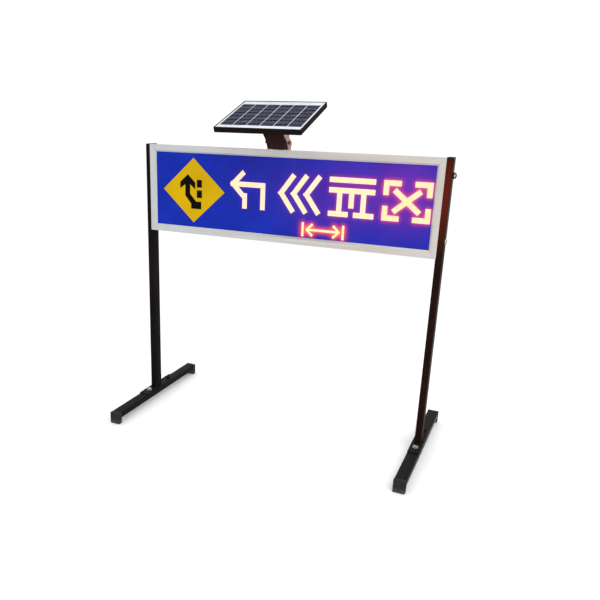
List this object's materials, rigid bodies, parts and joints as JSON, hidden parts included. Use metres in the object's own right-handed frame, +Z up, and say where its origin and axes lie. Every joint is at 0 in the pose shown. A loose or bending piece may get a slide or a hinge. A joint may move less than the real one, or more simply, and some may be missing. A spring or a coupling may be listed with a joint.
{
  "type": "solar road-works sign",
  "caption": "Free-standing framed LED lane-closure sign on two T-shaped legs, with a diamond warning and a tilting solar panel on top.",
  "frame": {"origin": "on the ground, half way between the two legs and half way along the feet", "axes": "+Z up, the board faces -Y, +X to the right along the board as a reader sees it"},
  "size_m": [1.2716, 0.674, 1.3245],
  "materials": {
    "black_paint": "gloss paint, lightly scuffed",
    "black_plastic": "moulded, fine grain",
    "boot_rubber": "moulded rubber",
    "zinc_steel": "zinc plated",
    "frame_aluminium": "satin anodised",
    "blue_film": "blue retroreflective film on a sheet",
    "yellow_film": "yellow retroreflective film",
    "black_film": "black printed film",
    "led_lens": "lit warm LED strips",
    "cover_sheet": "mill finish sheet",
    "battery_wrap": "heat shrink wrap",
    "controller_case": "moulded case",
    "red_plastic": "moulded",
    "panel_glass": "glass over dark cells, laminated",
    "panel_frame_aluminium": "black anodised"
  },
  "bodies": {
    "root": {"foot_bolt_left_rear": "black_paint", "foot_bolt_right_rear": "black_paint", "post_left": "black_paint", "post_right": "black_paint", "base_plate_left": "black_paint", "base_plate_right": "black_paint", "foot_tube_left": "black_paint", "foot_tube_right": "black_paint", "post_cap_left": "black_plastic", "post_cap_right": "black_plastic", "switch_housing": "black_plastic", "cable_gland": "black_plastic", "foot_boot_left_front": "boot_rubber", "foot_boot_left_rear": "boot_rubber", "foot_boot_right_front": "boot_rubber", "foot_boot_right_rear": "boot_rubber", "foot_bolt_left_front": "zinc_steel", "foot_bolt_right_front": "zinc_steel", "corner_cleat_left_top": "zinc_steel", "corner_cleat_left_bottom": "zinc_steel", "corner_cleat_right_top": "zinc_steel", "corner_cleat_right_bottom": "zinc_steel", "frame_nut_left_upper": "zinc_steel", "frame_nut_left_lower": "zinc_steel", "frame_nut_right_upper": "zinc_steel", "frame_nut_right_lower": "zinc_steel", "side_bolt_left": "zinc_steel", "side_bolt_right": "zinc_steel", "battery_strap": "zinc_steel", "bracket_lower": "zinc_steel", "bracket_screw_1": "zinc_steel", "bracket_screw_2": "zinc_steel", "pivot_bolt": "zinc_steel", "pivot_nut": "zinc_steel", "frame_rail_top": "frame_aluminium", "frame_rail_bottom": "frame_aluminium", "frame_rail_left": "frame_aluminium", "frame_rail_right": "frame_aluminium", "face_sheet": "blue_film", "diamond_plate": "yellow_film", "arrow_symbol": "black_film", "lane_dash_upper": "black_film", "lane_dash_lower": "black_film", "led_module_1": "led_lens", "led_module_2": "led_lens", "led_module_3": "led_lens", "led_module_4": "led_lens", "led_module_small": "led_lens", "back_cover": "cover_sheet", "battery_pack": "battery_wrap", "charge_controller": "controller_case"},
    "panel": {"bracket_arm": "black_paint", "panel_frame": "panel_frame_aluminium", "panel_laminate": "panel_glass", "junction_box": "black_plastic", "panel_rail": "panel_frame_aluminium"},
    "rocker": {"switch_rocker": "red_plastic"},
    "eye_left": {"eye_bolt_left": "zinc_steel"},
    "eye_right": {"eye_bolt_right": "zinc_steel"}
  },
  "joints": [
    {"name": "panel_tilt", "type": "hinge", "parent": "root", "child": "panel", "pos_m": [-0.037, 0.004, 1.174], "axis": [1, 0, 0], "range_deg": [-19.6, 6]},
    {"name": "power_switch", "type": "hinge", "parent": "root", "child": "rocker", "pos_m": [0.43, 0.0268, 0.863], "axis": [1, 0, 0], "range_deg": [-14, 0]},
    {"name": "eye_turn_left", "type": "hinge", "parent": "root", "child": "eye_left", "pos_m": [-0.6223, 0, 1.087], "axis": [1, 0, 0], "continuous": true},
    {"name": "eye_turn_right", "type": "hinge", "parent": "root", "child": "eye_right", "pos_m": [0.6223, 0, 1.087], "axis": [1, 0, 0], "continuous": true}
  ]
}
